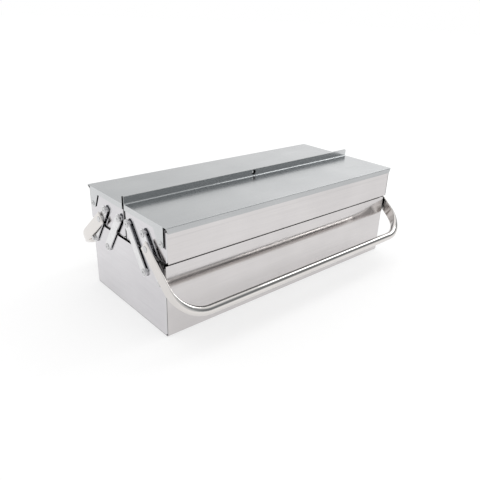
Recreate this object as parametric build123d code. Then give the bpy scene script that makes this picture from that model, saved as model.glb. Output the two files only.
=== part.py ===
from build123d import *
import os
from math import asin, atan2, cos, degrees, hypot, radians, sin

# Cantilever tool box of folded stainless sheet: a base, two lidded trays that swing out on
# eight links, and two tube handles riveted to the outer links.
# Millimetres. X runs along the box, the front is -Y, Z is up, and the origin is the middle of
# the base's underside. "out" is a distance from the middle plane towards the front or rear.

# Sheet metal
sheet = 0.8                 # thickness of every folded panel
fold_radius = 1.8           # outside radius of a fold
hem_depth = 6.0             # safety edge turned back inside a rim
seam_gap = 0.05             # between sheets that are spot welded together
corner_relief = 1.5         # radius of the notches where three folds meet
overshoot = 1.0             # by which a cut runs past the sheet
near = 0.01                 # an edge this close to a plane lies in it

# Base
base_length = 430.0
base_depth = 184.0
base_height = 97.8
base_wall_drop = 0.8        # the long walls' rims below the ends' rims
base_flange = 12.0          # welding flanges of the base's ends
end_reveal = 0.9            # how far an end stands out past the raw edges of the long walls

# Trays
tray_end_inset = 0.8        # a tray's end lies this far inside the base's end
tray_overhang = 4.2         # a tray's outer wall past the base's wall
tray_seat_gap = 2.4         # closed tray above the rims of the base's ends
tray_wall_height = 43.6
tray_flange = 9.0
tray_middle_gap = 2.0       # between the two trays' inner walls

# Lids
lid_clearance = 3.1         # from a tray's rim up to the underside of its lid
lid_side_gap = 0.3          # between a tray's outer wall and the lid's lip
lid_end_gap = 0.4           # between a tray's end and the lid's end lip
lip_depth = 8.0
ridge_height = 9.9          # upstands along the lids' inner edges
ridge_width = 5.0           # across both upstands
lid_fold_radius = 1.2
ridge_cap_gap = 0.3         # from the rear lid's cap to the front lid's upstand
lip_corner_gap = 6.8        # open corner between the lid's outer face and its end lip
lip_bevel = 3.0             # the lip's lower corners are cut back by this much
tab_root_width = 21.0       # hinge tab where it leaves the end lip
tab_foot_width = 11.0
tab_foot_drop = 28.6        # from the lid's top down to the tab's foot
tab_foot_radius = 5.0
padlock_hole_radius = 3.2
padlock_hole_height = 5.3   # above the lid's top

# Links
link_width = 12.0
link_thickness = 1.8
link_standoff = 1.2         # spacers between the base's end and the links
outer_pivot_inset = 7.2     # base pivot of an outer link from the base's long face
inner_pivot_inset = 9.8     # tray pivot of an inner link from the tray's inner wall
base_pivot_drop = 24.8      # below the rims of the base's ends
tray_pivot_height = 24.8    # above the tray's underside
lean_share = 0.49           # of the room across both links, how much a closed link leans
lid_pivot_inset = 10.9      # lid hinge from the tray's outer face
lid_pivot_height = 23.8     # above the tray's underside

# Rivets
shank_radius = 2.5
running_gap = 0.05          # round a shank that turns
open_pivot_gap = 0.10       # round the inner links' tray pivots, where each linkage is opened
seat_gap = 0.02             # round a shank that is set in its panel
head_radius = 4.5
head_height = 1.0
head_edge = 0.5             # rounding of a head's rim
head_gap = 0.05             # under the head of a rivet that lets its link turn
tail_radius = 4.0
tail_height = 1.1
dimple_radius = 1.2
dimple_depth = 0.8
spacer_radius = 5.5
collar_radius = 3.6         # of the collars between a tray's end and its links
lid_rivet_head_radius = 3.4
stop_radius = 3.0           # stop studs on which the hanging handles rest
stop_height = 1.9           # above the rivet's head
stop_gap = 0.1

# Handles
handle_drop = 19.0          # handle pivot below an outer link's tray pivot
handle_standoff = 1.2       # washers between link and handle
handle_reach = 96.5         # from pivot to the middle of the bar
tube_radius = 6.0
tube_wall = 1.1
flat_width = 17.4           # of the flattened ends
flat_corner = 0.8
handle_tip = 6.8            # flattened end past its pivot
bend_radius = 40.0
taper_turn = 58.0           # degrees of bend over which the tube is flattened
taper_steps = 5
edge_roundness = 0.98       # edges of the flattened tube, as a share of fully round
handle_head_height = 0.6
handle_head_radius = 4.2

# Places worked out from the sizes
base_end = base_length / 2
base_face = base_depth / 2
tray_end = base_end - tray_end_inset
tray_face = base_face + tray_overhang
tray_inner = tray_middle_gap / 2
tray_bottom = base_height + tray_seat_gap
tray_top = tray_bottom + tray_wall_height
lid_top = tray_top + lid_clearance + sheet
lid_face = tray_face + lid_side_gap + sheet
lid_end = tray_end + lid_end_gap + sheet
ridge_face = ridge_width / 2
ridge_top = lid_top + ridge_height

outer_base_pivot = (base_face - outer_pivot_inset, base_height - base_pivot_drop)
inner_tray_pivot = (tray_inner + inner_pivot_inset, tray_bottom + tray_pivot_height)
link_room = outer_base_pivot[0] - inner_tray_pivot[0]
link_reach = lean_share * link_room
outer_tray_pivot = (outer_base_pivot[0] - link_reach, inner_tray_pivot[1])
inner_base_pivot = (inner_tray_pivot[0] + link_reach, outer_base_pivot[1])
lid_pivot = (tray_face - lid_pivot_inset, tray_bottom + lid_pivot_height)
link_rise = outer_tray_pivot[1] - outer_base_pivot[1]
link_length = hypot(link_reach, link_rise)
link_lean = atan2(link_reach, link_rise)
handle_pivot = (
    outer_tray_pivot[0] + handle_drop * sin(link_lean),
    outer_tray_pivot[1] - handle_drop * cos(link_lean),
)

link_inside = base_end + link_standoff
link_outside = link_inside + link_thickness
flat_thickness = 2 * tube_wall
handle_inside = link_outside + handle_standoff
handle_outside = handle_inside + flat_thickness
handle_middle = handle_inside + flat_thickness / 2

# A hanging handle's lower edge rests on the stop stud at the foot of its outer link
stop_offset = flat_width / 2 + stop_radius + stop_gap
handle_lean = link_lean + asin(stop_offset / (link_length - handle_drop))


def along_x(start, stop, outline):
    """Extrude an outline drawn in (out, height) from X = start to X = stop."""
    return extrude(Plane.YZ.offset(start) * outline, amount=stop - start)


def pin(start, stop, centre, radius):
    """Round bar along X."""
    return along_x(start, stop, Pos(*centre) * Circle(radius))


def block(x_range, y_range, z_range):
    """Box between three pairs of limits."""
    size = [high - low for low, high in (x_range, y_range, z_range)]
    middle = [(high + low) / 2 for low, high in (x_range, y_range, z_range)]
    return Pos(*middle) * Box(*size)


def folded(points, side, radius):
    """Outline of a sheet whose visible skin runs through the points."""
    skin = FilletPolyline(*points, radius=radius)
    return make_face(offset(skin, amount=sheet, side=side, kind=Kind.INTERSECTION))


def copies(shape, ends=(-1, 1), sides=(-1, 1)):
    """Mirror a shape drawn at the right rear to the wanted ends and sides."""
    found = []
    for side in sides:
        for end in ends:
            turned = shape if side > 0 else mirror(shape, about=Plane.XZ)
            found.append(turned if end > 0 else mirror(turned, about=Plane.YZ))
    return found


def save(name, shapes):
    """Write one node, a group where the piece is repeated."""
    solids = [solid for shape in shapes for solid in shape.solids()]
    node = solids[0] if len(solids) == 1 else Compound(children=solids)
    node.label = name
    export_step(node, f"parts/{name}.step")


# ---- folded panels

def channel(low, high, bottom, top, half_length):
    """Floor and two long walls folded from one sheet, with hems inside the rims."""
    skin = [(low, top), (low, bottom), (high, bottom), (high, top)]
    body = along_x(-half_length, half_length, folded(skin, Side.LEFT, fold_radius))
    hem_half = half_length - fold_radius - hem_depth / 2
    for inner in (low + sheet, high - 2 * sheet):
        body += block((-hem_half, hem_half), (inner, inner + sheet), (top - hem_depth, top))
    return body


def end_pan(outside, low, high, bottom, top, flange):
    """Right-hand end panel with welding flanges on its floor and sides and a hemmed rim."""
    above = top + 2 * fold_radius
    shell = block((outside - 2 * flange, outside), (low, high), (bottom, above))
    shell = fillet(pan_edges(shell, outside, low, high, bottom), fold_radius)
    hollow = block(
        (outside - 3 * flange, outside - sheet),
        (low + sheet, high - sheet),
        (bottom + sheet, above + sheet),
    )
    inner_edges = pan_edges(hollow, outside - sheet, low + sheet, high - sheet, bottom + sheet)
    shell -= fillet(inner_edges, fold_radius - sheet)
    across = (low - overshoot, high + overshoot)
    behind = outside - 3 * flange
    shell -= block((behind, outside - flange), across, (bottom - overshoot, above + overshoot))
    shell -= block((behind, outside + overshoot), across, (top, above + overshoot))
    notch = top - hem_depth - corner_relief
    shell -= block((behind, outside - fold_radius), across, (notch, above))
    hem = (low + 2 * fold_radius, high - 2 * fold_radius)
    shell += block((outside - 2 * sheet, outside - sheet), hem, (top - hem_depth, top))
    for edge in (low, high):
        for height in (bottom + sheet, top - corner_relief):
            shell -= pin(outside - flange, outside + overshoot, (edge, height), corner_relief)
    return shell


def pan_edges(solid, outside, low, high, bottom):
    """Edges of a block that a pan's folds round: three at its face and two along its floor."""
    picked = []
    for edge in solid.edges():
        middle = edge.position_at(0.5)
        at_face = abs(middle.X - outside) < near
        at_side = min(abs(middle.Y - low), abs(middle.Y - high)) < near
        at_floor = abs(middle.Z - bottom) < near
        if at_side + at_face + at_floor == 2:
            picked.append(edge)
    return picked


def base_shells():
    """Base channel, and the end pan that closes it, with its pivot holes."""
    wall_top = base_height - base_wall_drop
    wrapper = channel(-base_face, base_face, 0, wall_top, base_end - end_reveal)
    inside = base_face - sheet - seam_gap
    end = end_pan(base_end, -inside, inside, sheet + seam_gap, base_height, base_flange)
    for centre in (outer_base_pivot, inner_base_pivot):
        hole = pin(base_end - base_flange, base_end + overshoot, centre, shank_radius + seat_gap)
        for cut in copies(hole, ends=[1]):
            end -= cut
    return wrapper, end


def tray_shells():
    """Rear tray's channel, and its end pan with holes for the links and the lid."""
    wrapper = channel(tray_inner, tray_face, tray_bottom, tray_top, tray_end - end_reveal)
    step = sheet + seam_gap
    end = end_pan(tray_end, tray_inner + step, tray_face - step, tray_bottom + step, tray_top, tray_flange)
    for centre in (outer_tray_pivot, inner_tray_pivot, lid_pivot):
        end -= pin(tray_end - tray_flange, tray_end + overshoot, centre, shank_radius + seat_gap)
    return wrapper, end


# ---- lids

def lid_end_lip():
    """Right-hand end lip with its hinge tab."""
    lip_bottom = lid_top - lip_depth
    tab_foot = lid_top - tab_foot_drop
    outer = lid_face - lip_corner_gap
    corners = [
        (ridge_face, lid_top - sheet / 2),
        (ridge_face, lip_bottom),
        (outer - tab_root_width, lip_bottom),
        (outer - tab_foot_width, tab_foot),
        (outer, tab_foot),
        (outer, lid_top - sheet / 2),
    ]
    outline = make_face(Polyline(*corners, close=True))
    feet = [corner for corner in outline.vertices() if abs(corner.Y - tab_foot) < near]
    outline = fillet(feet, tab_foot_radius)
    outline -= Pos(*lid_pivot) * Circle(shank_radius + running_gap)
    return along_x(lid_end - sheet, lid_end, outline)


def lid(side):
    """Rear lid for side 1, with a cap over the ridge; front lid for side -1."""
    skin = [
        (ridge_face, ridge_top),
        (ridge_face, lid_top),
        (lid_face, lid_top),
        (lid_face, lid_top - lip_depth),
    ]
    if side > 0:
        cap_edge = ridge_cap_gap - (ridge_face - sheet)
        skin = [(cap_edge, ridge_top)] + skin
    body = along_x(-lid_end, lid_end, folded(skin, Side.RIGHT, lid_fold_radius))
    for lip in copies(lid_end_lip(), sides=[1]):
        body += lip
    top_edges = []
    for edge in body.edges().filter_by(Axis.Y):
        middle = edge.position_at(0.5)
        if abs(abs(middle.X) - lid_end) < near and abs(middle.Z - lid_top) < near:
            top_edges.append(edge)
    body = fillet(top_edges, sheet / 2)
    corner = [
        (lid_end - lip_bevel, lid_top - lip_depth),
        (lid_end, lid_top - lid_fold_radius),
        (lid_end, lid_top - lip_depth),
    ]
    lip_plane = Plane.XZ.offset(-lid_face - overshoot)
    wedge = extrude(lip_plane * make_face(Polyline(*corner, close=True)), amount=3 * sheet)
    for cut in copies(wedge, sides=[1]):
        body -= cut
    hole_place = Pos(0, 0, lid_top + padlock_hole_height) * Rot(90, 0, 0)
    body -= hole_place * Cylinder(padlock_hole_radius, 4 * ridge_width)
    return copies(body, ends=[1], sides=[side])


# ---- links, rivets and spacers

def link(base_pivot, tray_pivot, tray_gap, handle_hole):
    """Flat bar with rounded ends, drilled for its pivots."""
    middle = ((base_pivot[0] + tray_pivot[0]) / 2, (base_pivot[1] + tray_pivot[1]) / 2)
    turned = Pos(*middle) * Rot(0, 0, 90 + degrees(link_lean))
    bar = turned * SlotCenterToCenter(link_length, link_width)
    bar -= Pos(*base_pivot) * Circle(shank_radius + running_gap)
    bar -= Pos(*tray_pivot) * Circle(shank_radius + tray_gap)
    if handle_hole:
        bar -= Pos(*handle_pivot) * Circle(shank_radius + running_gap)
    return along_x(link_inside, link_outside, bar)


def head(start, height, centre, radius, dimpled):
    """Rivet head with a rounded edge, and the small hollow of a pulled rivet."""
    disc = pin(start, start + height, centre, radius)
    rim = disc.edges().sort_by(Axis.X)[-1]
    disc = fillet(rim, head_edge)
    if dimpled:
        disc -= pin(start + height - dimple_depth, start + height + overshoot, centre, dimple_radius)
    return disc


def link_rivet(panel_inside, centre, stop_stud):
    """Rivet from the back of a panel out to its head over a link."""
    body = pin(panel_inside - tail_height, panel_inside, centre, tail_radius)
    body += pin(panel_inside, link_outside + head_gap, centre, shank_radius)
    body += head(link_outside + head_gap, head_height, centre, head_radius, not stop_stud)
    if stop_stud:
        foot = link_outside + head_gap + head_height
        body += pin(foot, foot + stop_height, centre, stop_radius)
    return body


def spacer(start, stop, centre, radius):
    """Washer or collar round a shank."""
    ring = Circle(radius) - Circle(shank_radius + seat_gap)
    return along_x(start, stop, Pos(*centre) * ring)


def lid_rivet():
    """Hinge rivet of a lid, set in the tray's end, with the washer that holds the tab off it."""
    inside = tray_end - sheet
    body = pin(inside - tail_height, inside, lid_pivot, tail_radius)
    body += pin(inside, lid_end, lid_pivot, shank_radius)
    return body + head(lid_end, head_height, lid_pivot, lid_rivet_head_radius, True)


def handle_rivet():
    """Rivet through an outer link and a handle's flattened end."""
    body = pin(link_inside - head_height, link_inside, handle_pivot, tail_radius)
    body += pin(link_inside, handle_outside + head_gap, handle_pivot, shank_radius)
    head_start = handle_outside + head_gap
    return body + head(head_start, handle_head_height, handle_pivot, handle_head_radius, False)


# ---- handles

def tube_section(turn):
    """Section of the tube part-way from flat to round, across the bend at the given turn."""
    share = min(turn / taper_turn, 1)
    ease = share * share * (3 - 2 * share)
    thick = flat_thickness + ease * (2 * tube_radius - flat_thickness)
    wide = flat_width + ease * (2 * tube_radius - flat_width)
    angle = radians(turn)
    centre = (
        handle_middle - bend_radius * (1 - cos(angle)),
        0,
        bend_radius - handle_reach - bend_radius * sin(angle),
    )
    across = Plane(centre, x_dir=(cos(angle), 0, -sin(angle)), z_dir=(-sin(angle), 0, -cos(angle)))
    return across * RectangleRounded(thick, wide, edge_roundness * min(thick, wide) / 2)


def handle_arm():
    """Right-hand flattened end and bend of a handle that hangs straight down from its pivot."""
    flat = block(
        (handle_inside, handle_outside),
        (-flat_width / 2, flat_width / 2),
        (bend_radius - handle_reach, handle_tip),
    )
    tip_corners = [edge for edge in flat.edges().filter_by(Axis.X) if edge.position_at(0.5).Z > 0]
    flat = fillet(tip_corners, flat_corner)
    flat = fillet(flat.edges().filter_by(Axis.Z), edge_roundness * tube_wall)
    taper = loft([tube_section(taper_turn * step / taper_steps) for step in range(taper_steps + 1)])
    bend_axis = Axis((handle_middle - bend_radius, 0, bend_radius - handle_reach), (0, 1, 0))
    start = tube_section(taper_turn).face().center()
    angle = radians(taper_turn)
    ring = Plane(start, x_dir=(0, 1, 0), z_dir=(-sin(angle), 0, -cos(angle))) * Circle(tube_radius)
    bend = revolve(ring, axis=bend_axis, revolution_arc=90 - taper_turn)
    return flat, taper, bend


def handle():
    """Tube handle at the rear: a bar between two bends that end in flattened arms."""
    flat, taper, bend = handle_arm()
    half_bar = handle_middle - bend_radius
    body = Pos(0, 0, -handle_reach) * Rot(0, 90, 0) * Cylinder(tube_radius, 2 * half_bar)
    for piece in (bend, taper, flat):
        for arm in copies(piece, sides=[1]):
            body += arm
    body -= Pos(0, 0, -handle_reach) * Rot(0, 90, 0) * Cylinder(tube_radius - tube_wall, 2 * half_bar)
    body -= Rot(0, 90, 0) * Cylinder(shank_radius + running_gap, 3 * handle_outside)
    return Pos(0, *handle_pivot) * Rot(degrees(handle_lean), 0, 0) * body


# ---- the pieces, in the order in which the box goes together

def save_base():
    wrapper, end = base_shells()
    save("base_wrapper", [wrapper])
    save("base_left_end", copies(end, ends=[-1], sides=[1]))
    save("base_right_end", [end])
    inside = base_end - sheet
    save("base_outer_pivot_rivets", copies(link_rivet(inside, outer_base_pivot, True)))
    save("base_inner_pivot_rivets", copies(link_rivet(inside, inner_base_pivot, False)))
    washers = []
    for centre in (outer_base_pivot, inner_base_pivot):
        washers += copies(spacer(base_end, link_inside, centre, spacer_radius))
    save("base_pivot_spacers", washers)


def save_links(name, side):
    outer = link(outer_base_pivot, outer_tray_pivot, running_gap, True)
    inner = link(inner_base_pivot, inner_tray_pivot, open_pivot_gap, False)
    for end_name, end in (("left", -1), ("right", 1)):
        save(f"{name}_outer_link_{end_name}", copies(outer, ends=[end], sides=[side]))
        save(f"{name}_inner_link_{end_name}", copies(inner, ends=[end], sides=[side]))


def save_tray(name, side):
    wrapper, end = tray_shells()
    save(f"{name}_tray_wrapper", copies(wrapper, ends=[1], sides=[side]))
    save(f"{name}_tray_left_end", copies(end, ends=[-1], sides=[side]))
    save(f"{name}_tray_right_end", copies(end, ends=[1], sides=[side]))
    rivets = []
    collars = []
    for centre in (outer_tray_pivot, inner_tray_pivot):
        rivets += copies(link_rivet(tray_end - sheet, centre, False), sides=[side])
        collars += copies(spacer(tray_end, link_inside, centre, collar_radius), sides=[side])
    save(f"{name}_tray_pivot_rivets", rivets)
    save(f"{name}_tray_pivot_collars", collars)


def save_lid(name, side):
    save(f"{name}_lid", lid(side))
    save(f"{name}_lid_rivets", copies(lid_rivet(), sides=[side]))
    washer = spacer(tray_end, tray_end + lid_end_gap, lid_pivot, tail_radius)
    save(f"{name}_lid_washers", copies(washer, sides=[side]))


def save_handle(name, side):
    save(f"{name}_handle", copies(handle(), ends=[1], sides=[side]))
    save(f"{name}_handle_rivets", copies(handle_rivet(), sides=[side]))
    washer = spacer(link_outside, handle_inside, handle_pivot, spacer_radius)
    save(f"{name}_handle_washers", copies(washer, sides=[side]))


os.makedirs("parts", exist_ok=True)
save_base()
for side_name, side_sign in (("front", -1), ("rear", 1)):
    save_links(side_name, side_sign)
    save_tray(side_name, side_sign)
    save_lid(side_name, side_sign)
    save_handle(side_name, side_sign)
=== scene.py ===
import bpy
import numpy as np
from mathutils import Matrix

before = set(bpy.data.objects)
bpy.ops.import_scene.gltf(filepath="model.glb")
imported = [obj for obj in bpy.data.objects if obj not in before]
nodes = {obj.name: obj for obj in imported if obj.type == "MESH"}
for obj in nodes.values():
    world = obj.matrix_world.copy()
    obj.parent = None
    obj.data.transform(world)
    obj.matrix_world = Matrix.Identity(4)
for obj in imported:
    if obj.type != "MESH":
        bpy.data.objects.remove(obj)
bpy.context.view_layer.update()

# ---- Base
# The box's lower part: a channel and two end panels folded from bright stainless sheet and spot
# welded along their flanges. The sheet is polished almost to a mirror, over a faint rolling grain.
CHANNEL_SHEET = (0.712, 0.688, 0.686, 1)
CHANNEL_SHEET_DULL = (0.652, 0.63, 0.629, 1)
END_SHEET = (0.725, 0.712, 0.73, 1)
END_SHEET_DULL = (0.675, 0.662, 0.682, 1)
INNER_SIDE = (0.72, 0.72, 0.725, 1)
INNER_SIDE_DULL = (0.66, 0.66, 0.665, 1)
# Black towards which the marks and the painted shade below darken the colour.
MARK_AND_SHADE_BLACK = (0.012, 0.012, 0.014, 1)
# The noise's scale along x, y and z, and the range of its tone that colour and polish follow.
LONG_GRAIN = (9.0, 900.0, 900.0)
END_GRAIN = (300.0, 18.0, 300.0)
COLOUR_TONES = (0.12, 0.4)
POLISH_TONES = (0.1, 0.42)
# Roughness where the sheet is best polished, how much it rises elsewhere, and on rubbed folds.
SHEET_SMOOTH = 0.055
CLOUDY = 0.09
RUBBED = 0.5
# Metres: height of the waves, depth of the grain, and width of a soft and of a sharp mark's rim.
WAVE_HEIGHT = 0.00030
GRAIN_DEPTH = 0.00002
BLUR = 0.0002
SHARP = 0.0001


def node_maker(tree):
    """Function that adds a node to a tree, sets it up, and links or fills its sockets."""

    def node(kind, sockets=(), **settings):
        made = tree.nodes.new(kind)
        for key, value in settings.items():
            setattr(made, key, value)
        for socket, source in sockets:
            if isinstance(source, bpy.types.NodeSocket):
                tree.links.new(source, made.inputs[socket])
            else:
                made.inputs[socket].default_value = source
        return made

    return node


def noise(node, place, scale, detail, **more):
    """Cloudy noise between 0 and 1. More sockets are given by name."""
    sockets = [("Vector", place), ("Scale", scale), ("Detail", detail), *more.items()]
    return node("ShaderNodeTexNoise", sockets).outputs["Fac"]


def bump(node, height, strength, depth, **more):
    """Surface normal bent by a height between 0 and 1, as deep as depth."""
    sockets = [("Height", height), ("Strength", strength), ("Distance", depth), *more.items()]
    return node("ShaderNodeBump", sockets).outputs["Normal"]


def step(node, value, start, stop, low, high, **settings):
    """Ramp from low at start to high at stop, level beyond them, straight unless set otherwise."""
    ends = [("From Min", start), ("From Max", stop), ("To Min", low), ("To Max", high)]
    return node("ShaderNodeMapRange", [("Value", value), *ends], **settings).outputs["Result"]


def past(node, value, start, width):
    """0 up to start, rising to 1 over width."""
    return step(node, value, start, start + width, 0.0, 1.0)


def short_of(node, value, start, width):
    """1 up to start, falling to 0 over width."""
    return step(node, value, start, start + width, 1.0, 0.0)


def arithmetic(node, operation, *values):
    """Result of one arithmetic node."""
    return node("ShaderNodeMath", list(enumerate(values)), operation=operation).outputs[0]


def product(node, first, *others):
    """Product of two or more shares."""
    for other in others:
        first = arithmetic(node, "MULTIPLY", first, other)
    return first


def left_by(node, dark):
    """Share of the colour that a dark share leaves: 1 less that share."""
    return arithmetic(node, "SUBTRACT", 1.0, dark)


def apart(node, value, level):
    """How far a value lies from a level, above or below it."""
    return arithmetic(node, "ABSOLUTE", arithmetic(node, "SUBTRACT", value, level))


def away(node, across, up, centre):
    """Distance of the point (across, up) from a centre in the same plane."""
    spot = node("ShaderNodeCombineXYZ", [("X", across), ("Y", up)]).outputs[0]
    line = node("ShaderNodeVectorMath", [(0, spot), (1, centre)], operation="DISTANCE")
    return line.outputs["Value"]


def number_between(node, share, low, high):
    """Number that is low at a share of 0 and high at 1."""
    return node("ShaderNodeMix", [(0, share), (2, low), (3, high)], data_type="FLOAT").outputs[0]


def colour_between(node, share, low, high):
    """Colour that is low at a share of 0 and high at 1."""
    return node("ShaderNodeMix", [(0, share), (6, low), (7, high)], data_type="RGBA").outputs[2]


def distances(node, place):
    """How far a point lies from the box's three middle planes: |x|, |y| and z."""
    parts = node("ShaderNodeSeparateXYZ", [("Vector", place)])
    along = arithmetic(node, "ABSOLUTE", parts.outputs[0])
    out = arithmetic(node, "ABSOLUTE", parts.outputs[1])
    return along, out, parts.outputs[2]


def inside(node, place, hollow):
    """1 within a hollow, given as its half length, its nearest and farthest |y| and its floor."""
    half_length, near, far, floor_height = hollow
    along, out, height = distances(node, place)
    half = SHARP / 2
    return product(
        node,
        short_of(node, along, half_length - half, SHARP),
        past(node, out, near - half, SHARP),
        short_of(node, out, far - half, SHARP),
        past(node, height, floor_height - half, SHARP),
    )


def new_metal(name):
    """New metal material, a node maker for it and the place on the piece."""
    material = bpy.data.materials.new(name)
    material.use_nodes = True
    material.node_tree.nodes["Principled BSDF"].inputs["Metallic"].default_value = 1.0
    node = node_maker(material.node_tree)
    return material, node, node("ShaderNodeTexCoord").outputs["Object"]


def wire(material, colour, rough, normal):
    """Link a metal's colour, roughness and bump to its shader."""
    tree = material.node_tree
    steel = tree.nodes["Principled BSDF"]
    for socket, source in (("Base Color", colour), ("Roughness", rough), ("Normal", normal)):
        tree.links.new(source, steel.inputs[socket])


def sheet_finish(
    name, grain, bright, dull,
    smooth=SHEET_SMOOTH, waves=WAVE_HEIGHT, marks_and_shade=None, worn=None, hollow=None,
):
    """Polished sheet: long grain lines along one axis, cloudy polish and a slight waviness.

    grain is the noise's scale along x, y and z, low along the rolling direction. marks_and_shade
    gives the share of the colour left by marks and painted shade, 1 where the sheet is clean and
    unshaded, and worn the share to which a fold is rubbed dull. hollow is the box within which the
    sheet shows its greyer inner side.
    """
    material, node, place = new_metal(name)
    stretched = node("ShaderNodeMapping", [("Vector", place), ("Scale", grain)]).outputs["Vector"]
    lines = noise(node, stretched, scale=1.0, detail=4.0, Roughness=0.62)
    cloud = noise(node, place, scale=13.0, detail=3.0)
    swell = noise(node, place, scale=6.5, detail=1.0)
    tone = product(node, lines, cloud)
    share = step(node, tone, *COLOUR_TONES, 0.0, 1.0)
    colour = colour_between(node, share, dull, bright)
    if hollow:
        grey = colour_between(node, share, INNER_SIDE_DULL, INNER_SIDE)
        colour = colour_between(node, inside(node, place, hollow), colour, grey)
    # Marks and painted shade darken the colour towards black.
    if marks_and_shade:
        colour = colour_between(node, marks_and_shade(node, place), MARK_AND_SHADE_BLACK, colour)
    rough = step(node, tone, *POLISH_TONES, smooth + CLOUDY, smooth)
    if worn:
        rough = number_between(node, worn(node, place), rough, RUBBED)
    brushed = bump(node, lines, strength=0.35, depth=GRAIN_DEPTH)
    wavy = bump(node, swell, strength=1.0, depth=waves, Normal=brushed)
    wire(material, colour, rough, wavy)
    return material


def finish(material, *names):
    """Give CAD nodes their material."""
    for name in names:
        nodes[name].data.materials.clear()
        nodes[name].data.materials.append(material)


# Half length, nearest and farthest |y| and floor of the base's hollow.
BASE_HOLLOW = (0.2146, -1.0, 0.0916, 0.0004)
# |x| where the channel's cut edge starts, and the height over which its painted shade gets full.
SEAM_START = 0.2138
SEAM_SHADE = 0.88
BOTTOM_FOLD = (0.0012, 0.0032)
BOTTOM_SHARE = 0.45
# The notches lie at this |y|, and this far above and below the end panel's middle height.
NOTCH = (0.0911, 0.0477, 0.0)
NOTCH_MIDDLE = 0.0486
NOTCH_RADIUS = 0.0019
NOTCH_RIM = 0.0005
NOTCH_SHADE_LEFT = 0.05


def painted_seam_shade(node, place):
    """Painted shade at the channel's cut edges, dark up the seams and paler along the bottom."""
    along, out, height = distances(node, place)
    # Painted shade of the seams where the channel meets the end panels.
    cut = step(node, along, SEAM_START, SEAM_START + BLUR, 0.0, SEAM_SHADE)
    upright = step(node, height, *BOTTOM_FOLD, BOTTOM_SHARE, 1.0)
    return left_by(node, product(node, cut, upright))


def painted_notch_shade(node, place):
    """Painted shade in an end panel's four corner notches, dark about two millimetres around."""
    along, out, height = distances(node, place)
    gap = away(node, out, apart(node, height, NOTCH_MIDDLE), NOTCH)
    # Painted shade: each notch and its rim are darkened.
    return step(node, gap, NOTCH_RADIUS, NOTCH_RADIUS + NOTCH_RIM, NOTCH_SHADE_LEFT, 1.0)


base_long = sheet_finish(
    "polished_base_channel", LONG_GRAIN, CHANNEL_SHEET, CHANNEL_SHEET_DULL,
    marks_and_shade=painted_seam_shade, hollow=BASE_HOLLOW,
)
base_cross = sheet_finish(
    "polished_base_end", END_GRAIN, END_SHEET, END_SHEET_DULL,
    marks_and_shade=painted_notch_shade, hollow=BASE_HOLLOW,
)
finish(base_long, "base_wrapper")
finish(base_cross, "base_left_end", "base_right_end")

# ---- Links and their rivets
# Flat stainless bars, punched and tumbled smooth, that turn on plain steel rivets with washers
# between. The bars are brighter than the panels, the rivets a little duller.
LINK_STEEL = (0.84, 0.84, 0.845, 1)
RIVET_STEEL = (0.70, 0.70, 0.705, 1)
LINK_ROUGH = (0.16, 0.26)
RIVET_ROUGH = (0.22, 0.34)
# The links' backs are painted near black as painted shade, which the panels mirror. They lie just
# short of this |x|.
LINK_BACK_SHADE = (0.075, 0.083, 0.094, 1)
LINK_BACK_FACE = 0.2163
SPECKLE_TONES = (0.15, 0.38)
RUB_TONES = (0.3, 0.7)
SPECKLE_DEPTH = 0.00003
DULLED = 0.9


def tumbled_finish(name, bright, rough_range, back=None):
    """Tumbled bar or rivet: fine even speckle with a few longer rub marks.

    back is the distance from the box's middle up to which a bar's back bears painted shade.
    """
    material, node, place = new_metal(name)
    speckle = noise(node, place, scale=900.0, detail=2.0)
    rub = noise(node, place, scale=120.0, detail=5.0, Distortion=1.4)
    tone = product(node, speckle, rub)
    dull = [DULLED * value for value in bright[:3]] + [1]
    colour = colour_between(node, step(node, tone, *SPECKLE_TONES, 0.0, 1.0), dull, bright)
    if back:
        along = distances(node, place)[0]
        # Painted shade: the bar's back, facing the box, is nearly black.
        colour = colour_between(node, past(node, along, back, BLUR), LINK_BACK_SHADE, colour)
    smoothest, roughest = rough_range
    rough = step(node, rub, *RUB_TONES, roughest, smoothest)
    wire(material, colour, rough, bump(node, tone, strength=0.4, depth=SPECKLE_DEPTH))
    return material


link_finish = tumbled_finish("tumbled_link_bar", LINK_STEEL, LINK_ROUGH, LINK_BACK_FACE)
rivet_finish = tumbled_finish("plain_rivet_steel", RIVET_STEEL, RIVET_ROUGH)
finish(rivet_finish, "base_outer_pivot_rivets", "base_inner_pivot_rivets", "base_pivot_spacers")
for side in ("front", "rear"):
    for end in ("left", "right"):
        finish(link_finish, f"{side}_outer_link_{end}", f"{side}_inner_link_{end}")

# ---- Trays
# Each tray is a channel and two end panels of the same polished sheet, riveted to its links. A
# faint line along the outer wall shows where the rim was folded back inside.
TRAY_HOLLOW = (0.2138, 0.0014, 0.0958, 0.1006)
# Height of the folded rim's lower edge, and how far above and below it the faint line fades.
HEM_HEIGHT = 0.1335
HEM_LINE = (0.0002, 0.0009)
HEM_LEFT = 0.93
# x over which the edge at the right end turns dark with painted shade.
RIGHT_EDGE_SHADE = (0.2118, 0.2126)
RIGHT_EDGE_SHADE_LEFT = 0.14
# |y| of the walls beside the slit, and |x| over which their ends turn dark with painted shade.
SLIT_WALL = 0.0012
SLIT_END = (0.2083, 0.2103)
SLIT_SHADE = 0.94
# The painted shade's two rims in |y|, their widths, the height over which it starts, and the
# |y| and rim of its second strip beside the slit.
TAB_SHADE_OUT = (0.0902, 0.0935)
TAB_SHADE_RIMS = (0.0003, 0.0012)
TAB_SHADE_FOOT = (0.1195, 0.1210)
TAB_SHADE_DARK = 0.86
MIDDLE_SHADE = 0.0026
MIDDLE_SHADE_RIM = 0.0004


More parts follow.
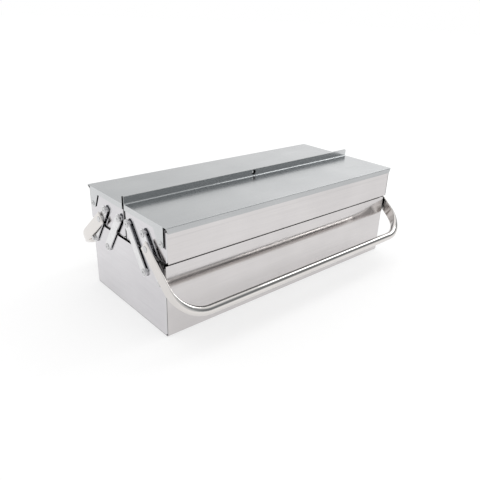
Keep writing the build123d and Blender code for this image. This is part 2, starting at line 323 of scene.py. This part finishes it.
def channel_marks_and_shade(node, place):
    """Marks on a tray's channel.

    They are the faint line at the height of the folded rim's lower edge, painted shade along the
    right end's edge, and painted shade at the near walls' ends where the two trays leave a slit.
    """
    along, out, height = distances(node, place)
    line = step(node, apart(node, height, HEM_HEIGHT), *HEM_LINE, HEM_LEFT, 1.0)
    right = node("ShaderNodeSeparateXYZ", [("Vector", place)]).outputs[0]
    # Painted shade along the edge at the right end.
    edge_shade = step(node, right, *RIGHT_EDGE_SHADE, 1.0, RIGHT_EDGE_SHADE_LEFT)
    # Painted shade at the near walls' ends beside the slit between the trays.
    near_wall = short_of(node, out, SLIT_WALL, BLUR)
    near_end = step(node, along, *SLIT_END, 0.0, SLIT_SHADE)
    return product(node, line, edge_shade, left_by(node, product(node, near_wall, near_end)))


def painted_corner_shade(node, place):
    """Painted shade at a tray end's corners and by the slit, down to the lid tab's foot."""
    along, out, height = distances(node, place)
    beside = past(node, out, TAB_SHADE_OUT[0], TAB_SHADE_RIMS[0])
    before = short_of(node, out, TAB_SHADE_OUT[1], TAB_SHADE_RIMS[1])
    middle = short_of(node, out, MIDDLE_SHADE, MIDDLE_SHADE_RIM)
    # Painted shade beside the lid tabs' edges and the slit, from the foot up.
    above = step(node, height, *TAB_SHADE_FOOT, 0.0, TAB_SHADE_DARK)
    both = arithmetic(node, "ADD", product(node, beside, before), middle)
    return left_by(node, product(node, both, above))


tray_long = sheet_finish(
    "polished_tray_channel", LONG_GRAIN, CHANNEL_SHEET, CHANNEL_SHEET_DULL,
    marks_and_shade=channel_marks_and_shade, hollow=TRAY_HOLLOW,
)
tray_cross = sheet_finish(
    "polished_tray_end", END_GRAIN, END_SHEET, END_SHEET_DULL,
    marks_and_shade=painted_corner_shade, hollow=TRAY_HOLLOW,
)
for side in ("front", "rear"):
    finish(tray_long, f"{side}_tray_wrapper")
    finish(tray_cross, f"{side}_tray_left_end", f"{side}_tray_right_end")
    finish(rivet_finish, f"{side}_tray_pivot_rivets", f"{side}_tray_pivot_collars")

# ---- Lids
# Folded panels with a lip outside the trays and upstands that meet over the middle of the box.
# They are the same sheet, less finely polished and duller along the lips, and turn on a rivet at
# each end.
LID_SHEET = (0.665, 0.677, 0.684, 1)
LID_SHEET_DULL = (0.60, 0.613, 0.622, 1)
LID_SMOOTH = 0.19
# |y| over which the outer lip turns a shade darker.
LIP_SHADE = (0.0966, 0.0972)
LIP_LEFT = 0.80
# |x| of the end lips' two faces, and height to which their backs and cut edges get painted shade.
TAB_INSIDE = 0.21445
TAB_OUTSIDE = 0.2152
TAB_TOP = 0.1401
# |y| up to which the sheet's ends beside the slit are dark with painted shade.
UPSTAND_END = 0.0022
UPSTAND_SHADE = 0.9
# Middle of the padlock hole in x and z, and the distance over which its bore's painted shade ends.
PADLOCK_HOLE = (0.0, 0.153, 0.0)
PADLOCK_BORE = (0.0036, 0.0040)
BORE_SHADE_LEFT = 0.08
# |y| and height from which the fold to the outer lip is rubbed.
FOLD_OUT = 0.0960
FOLD_HEIGHT = 0.1464


def lid_marks_and_shade(node, place):
    """Marks on a lid.

    The lips along the outer edges are a shade darker. The tabs' backs and cut edges, the sheet's
    ends in the middle slit and the bore of the padlock hole are dark with painted shade.
    """
    along, out, height = distances(node, place)
    lip = step(node, out, *LIP_SHADE, 1.0, LIP_LEFT)
    # Painted shade in the padlock hole's bore.
    bore_shade = step(node, away(node, along, height, PADLOCK_HOLE), *PADLOCK_BORE, BORE_SHADE_LEFT, 1.0)
    # Painted shade on the end lips' backs and cut edges.
    end = past(node, along, TAB_INSIDE, SHARP)
    behind = short_of(node, along, TAB_OUTSIDE, SHARP)
    below = short_of(node, height, TAB_TOP, BLUR)
    # Painted shade on the sheet's ends beside the middle slit.
    middle = step(node, out, UPSTAND_END, UPSTAND_END + BLUR, UPSTAND_SHADE, 0.0)
    tab_shade = left_by(node, product(node, behind, end, below))
    slit_shade = left_by(node, product(node, middle, end))
    return product(node, lip, bore_shade, tab_shade, slit_shade)


def outer_fold(node, place):
    """The fold between a lid's top and its outer lip."""
    along, out, height = distances(node, place)
    return product(node, past(node, out, FOLD_OUT, BLUR), past(node, height, FOLD_HEIGHT, BLUR))


lid_finish = sheet_finish(
    "polished_lid_sheet", LONG_GRAIN, LID_SHEET, LID_SHEET_DULL,
    smooth=LID_SMOOTH, marks_and_shade=lid_marks_and_shade, worn=outer_fold,
)
for side in ("front", "rear"):
    finish(lid_finish, f"{side}_lid")
    finish(rivet_finish, f"{side}_lid_rivets", f"{side}_lid_washers")

# ---- Handles
# Bright stainless tube bent to a bow. Its ends are pressed flat and riveted to the outer links,
# and their inner faces are darkened with streaky painted shade.
TUBE_STEEL = (0.792, 0.764, 0.742, 1)
TUBE_STEEL_DULL = (0.737, 0.709, 0.687, 1)
TUBE_GRAIN = (14.0, 700.0, 700.0)
TUBE_SMOOTH = 0.07
TUBE_WAVES = 0.00004
# |x| of the flattened ends' inner faces, their pivot in |y| and z, and the distance from it over
# which the dark fades.
FLAT_BACK = 0.2192
HANDLE_PIVOT = (0.0594, 0.1094, 0.0)
FLAT_REACH = (0.036, 0.055)
FLAT_BACK_SHADE = 0.66
STREAK_TONES = (0.38, 0.6)
STREAK_SHARE = 0.55


def painted_flat_back_shade(node, place):
    """Painted shade on the flattened ends' inner faces, dark and streaky up to the bends."""
    along, out, height = distances(node, place)
    # Painted shade on the flattened ends' inner faces, which face the box.
    face = step(node, apart(node, along, FLAT_BACK), SHARP, 2 * SHARP, FLAT_BACK_SHADE, 0.0)
    near = step(node, away(node, out, height, HANDLE_PIVOT), *FLAT_REACH, 1.0, 0.0)
    streaks = noise(node, place, scale=190.0, detail=2.0)
    streaks = step(node, streaks, *STREAK_TONES, STREAK_SHARE, 1.0)
    return left_by(node, product(node, face, near, streaks))


tube_finish = sheet_finish(
    "polished_tube", TUBE_GRAIN, TUBE_STEEL, TUBE_STEEL_DULL,
    smooth=TUBE_SMOOTH, waves=TUBE_WAVES, marks_and_shade=painted_flat_back_shade,
)
for side in ("front", "rear"):
    finish(tube_finish, f"{side}_handle")
    finish(rivet_finish, f"{side}_handle_rivets", f"{side}_handle_washers")

# ---- Floor
# A plain matt floor that keeps the box's shadow. It shows white to the camera, and the metal sees
# it a little darker towards the right.
FLOOR_HALF = 15.0
FLOOR_HEIGHT = -0.0002
FLOOR_GREY = (0.50, 0.50, 0.50, 1)
FLOOR_ROUGH = 0.9
# The floor's own glow as the camera sees it, and as the metal mirrors it from one x to another.
SEEN_GLOW = 0.52
MIRRORED_GLOW = (0.47, 0.385)
MIRRORED_RANGE = (0.10, 0.42)

floor_mesh = bpy.data.meshes.new("floor")
corners = FLOOR_HALF * np.array([[-1, -1, 0], [1, -1, 0], [1, 1, 0], [-1, 1, 0]], dtype=float)
corners[:, 2] = FLOOR_HEIGHT
floor_mesh.from_pydata(corners.tolist(), [], [(0, 1, 2, 3)])
floor = bpy.data.objects.new("floor", floor_mesh)
bpy.context.scene.collection.objects.link(floor)

paint = bpy.data.materials.new("white_floor")
paint.use_nodes = True
surface = paint.node_tree.nodes["Principled BSDF"]
surface.inputs["Base Color"].default_value = FLOOR_GREY
surface.inputs["Roughness"].default_value = FLOOR_ROUGH
surface.inputs["Specular IOR Level"].default_value = 0.0
surface.inputs["Emission Color"].default_value = (1, 1, 1, 1)
paint_node = node_maker(paint.node_tree)
rays = paint_node("ShaderNodeLightPath").outputs
floor_place = paint_node("ShaderNodeTexCoord").outputs["Object"]
floor_right = paint_node("ShaderNodeSeparateXYZ", [("Vector", floor_place)]).outputs[0]
mirrored = step(paint_node, floor_right, *MIRRORED_RANGE, *MIRRORED_GLOW)
seen = product(paint_node, rays["Is Camera Ray"], SEEN_GLOW)
glow = arithmetic(paint_node, "MULTIPLY_ADD", rays["Is Glossy Ray"], mirrored, seen)
paint.node_tree.links.new(glow, surface.inputs["Emission Strength"])
floor_mesh.materials.append(paint)

# ---- Studio light
# One large soft lamp above the right of the box in a pale room. The metal reflects the room: pale
# overhead and behind, darker and slightly cool at the box's height towards the camera's side.
CEILING = 1.05
FAR_WALL = (0.73, 1.05)
NEAR_WALL_FOOT = 0.74
NEAR_WALL_LEFT = 0.635
NEAR_WALL_RIGHT = (0.21, 0.48)
# Share of the direction to the right, to the back or upwards over which one turns into the next.
FAR_WALL_TURN = (0.4, 0.95)
NEAR_WALL_TURN = (0.70, 1.25)
LEFT_TO_RIGHT = (-0.1, 0.35)
FOOT_TO_WALL = (0.05, 0.24)
NEAR_TO_FAR = (-0.35, 0.25)
WALL_TO_CEILING = (0.6, 0.97)
# Colour of the room's dark parts, and the brightness over which it turns white.
COOL = (0.925, 0.975, 1.0, 1)
WHITE = (1, 1, 1, 1)
COOL_TO_WHITE = (0.45, 0.78)

world = bpy.data.worlds.new("studio")
bpy.context.scene.world = world
world.use_nodes = True
world.node_tree.nodes.clear()
room_node = node_maker(world.node_tree)


def ramp(value, limits, low=0.0, high=1.0):
    """Smooth step of the room's light from low at the first limit to high at the second."""
    return step(room_node, value, *limits, low, high, interpolation_type="SMOOTHSTEP")


direction = room_node("ShaderNodeTexCoord").outputs["Generated"]
right, back, up = room_node("ShaderNodeSeparateXYZ", [("Vector", direction)]).outputs
far_wall = ramp(right, FAR_WALL_TURN, *FAR_WALL)
near_right = ramp(right, NEAR_WALL_TURN, *NEAR_WALL_RIGHT)
near_wall = number_between(room_node, ramp(right, LEFT_TO_RIGHT), NEAR_WALL_LEFT, near_right)
near_wall = number_between(room_node, ramp(up, FOOT_TO_WALL), NEAR_WALL_FOOT, near_wall)
wall = number_between(room_node, ramp(back, NEAR_TO_FAR), near_wall, far_wall)
level = number_between(room_node, ramp(up, WALL_TO_CEILING), wall, CEILING)
mirror_share = room_node("ShaderNodeLightPath").outputs["Is Glossy Ray"]
plain = number_between(room_node, mirror_share, 1.0, level)
tint = colour_between(room_node, ramp(plain, COOL_TO_WHITE), COOL, WHITE)
sky = room_node("ShaderNodeBackground", [("Color", tint), ("Strength", plain)])
room_node("ShaderNodeOutputWorld", [("Surface", sky.outputs[0])])


def look(place, forward, right_hand):
    """Matrix of a lamp or camera: columns right, up, back, and its place."""
    forward = np.array(forward) / np.linalg.norm(forward)
    right_hand = np.array(right_hand) - forward * np.dot(forward, right_hand)
    right_hand /= np.linalg.norm(right_hand)
    up_hand = np.cross(right_hand, forward)
    table = np.eye(4)
    table[:3] = np.column_stack([right_hand, up_hand, -forward, place])
    return Matrix(table.tolist())


LAMP_PLACE = (1.30, -0.16, 1.08)
LAMP_TARGET_HEIGHT = 0.1
lamp = bpy.data.lights.new("soft_lamp", "AREA")
lamp.shape = "RECTANGLE"
lamp.size = 0.52
lamp.size_y = 1.0
lamp.energy = 3.9
lamp_object = bpy.data.objects.new("soft_lamp", lamp)
bpy.context.scene.collection.objects.link(lamp_object)
lamp_forward = np.array([0.0, 0.0, LAMP_TARGET_HEIGHT]) - LAMP_PLACE
lamp_object.matrix_world = look(LAMP_PLACE, lamp_forward, (0, 1, 0))

# ---- Camera
# The photograph's view: above the front left corner, looking down along the box, with a slight
# shift for the photograph's framing.
CAMERA_PLACE = (-0.4973, -0.5474, 0.37128)
CAMERA_FORWARD = (0.61802, 0.66674, -0.41654)
CAMERA_RIGHT = (0.74519, -0.66565, 0.04017)
camera = bpy.data.cameras.new("camera")
camera.sensor_width = 36.0
camera.lens = 38.292
camera.shift_x = -0.0301
camera.shift_y = 0.0109
camera_object = bpy.data.objects.new("camera", camera)
bpy.context.scene.collection.objects.link(camera_object)
camera_object.matrix_world = look(CAMERA_PLACE, CAMERA_FORWARD, CAMERA_RIGHT)
bpy.context.scene.camera = camera_object
bpy.context.scene.view_settings.view_transform = "Standard"
